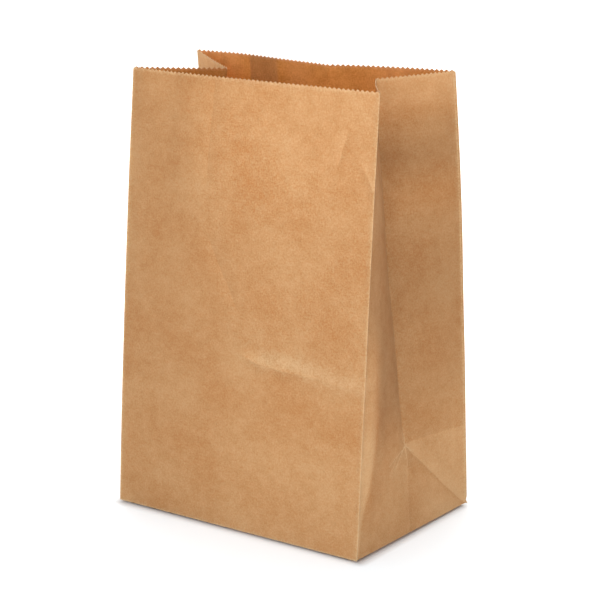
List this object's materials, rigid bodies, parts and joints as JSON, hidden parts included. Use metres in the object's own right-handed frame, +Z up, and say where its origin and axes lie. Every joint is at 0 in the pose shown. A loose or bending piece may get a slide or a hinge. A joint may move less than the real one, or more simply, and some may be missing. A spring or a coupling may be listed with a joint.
{
  "type": "paper lunch bag",
  "caption": "Open brown kraft paper lunch bag with folded side gussets, a glued flat bottom and a toothed mouth, standing upright.",
  "frame": {"origin": "centre of the bag's footprint, on the surface it stands on", "axes": "+Z up towards the open mouth; +X to the right along the wide front panel, seen from the front; +Y from the front panel to the back panel, which has the glued seam"},
  "size_m": [0.1858, 0.1169, 0.2686],
  "materials": {
    "kraft_paper": "matte brown kraft paper, fine fibre grain"
  },
  "bodies": {
    "root": {"paper_bag": "kraft_paper"}
  },
  "joints": []
}
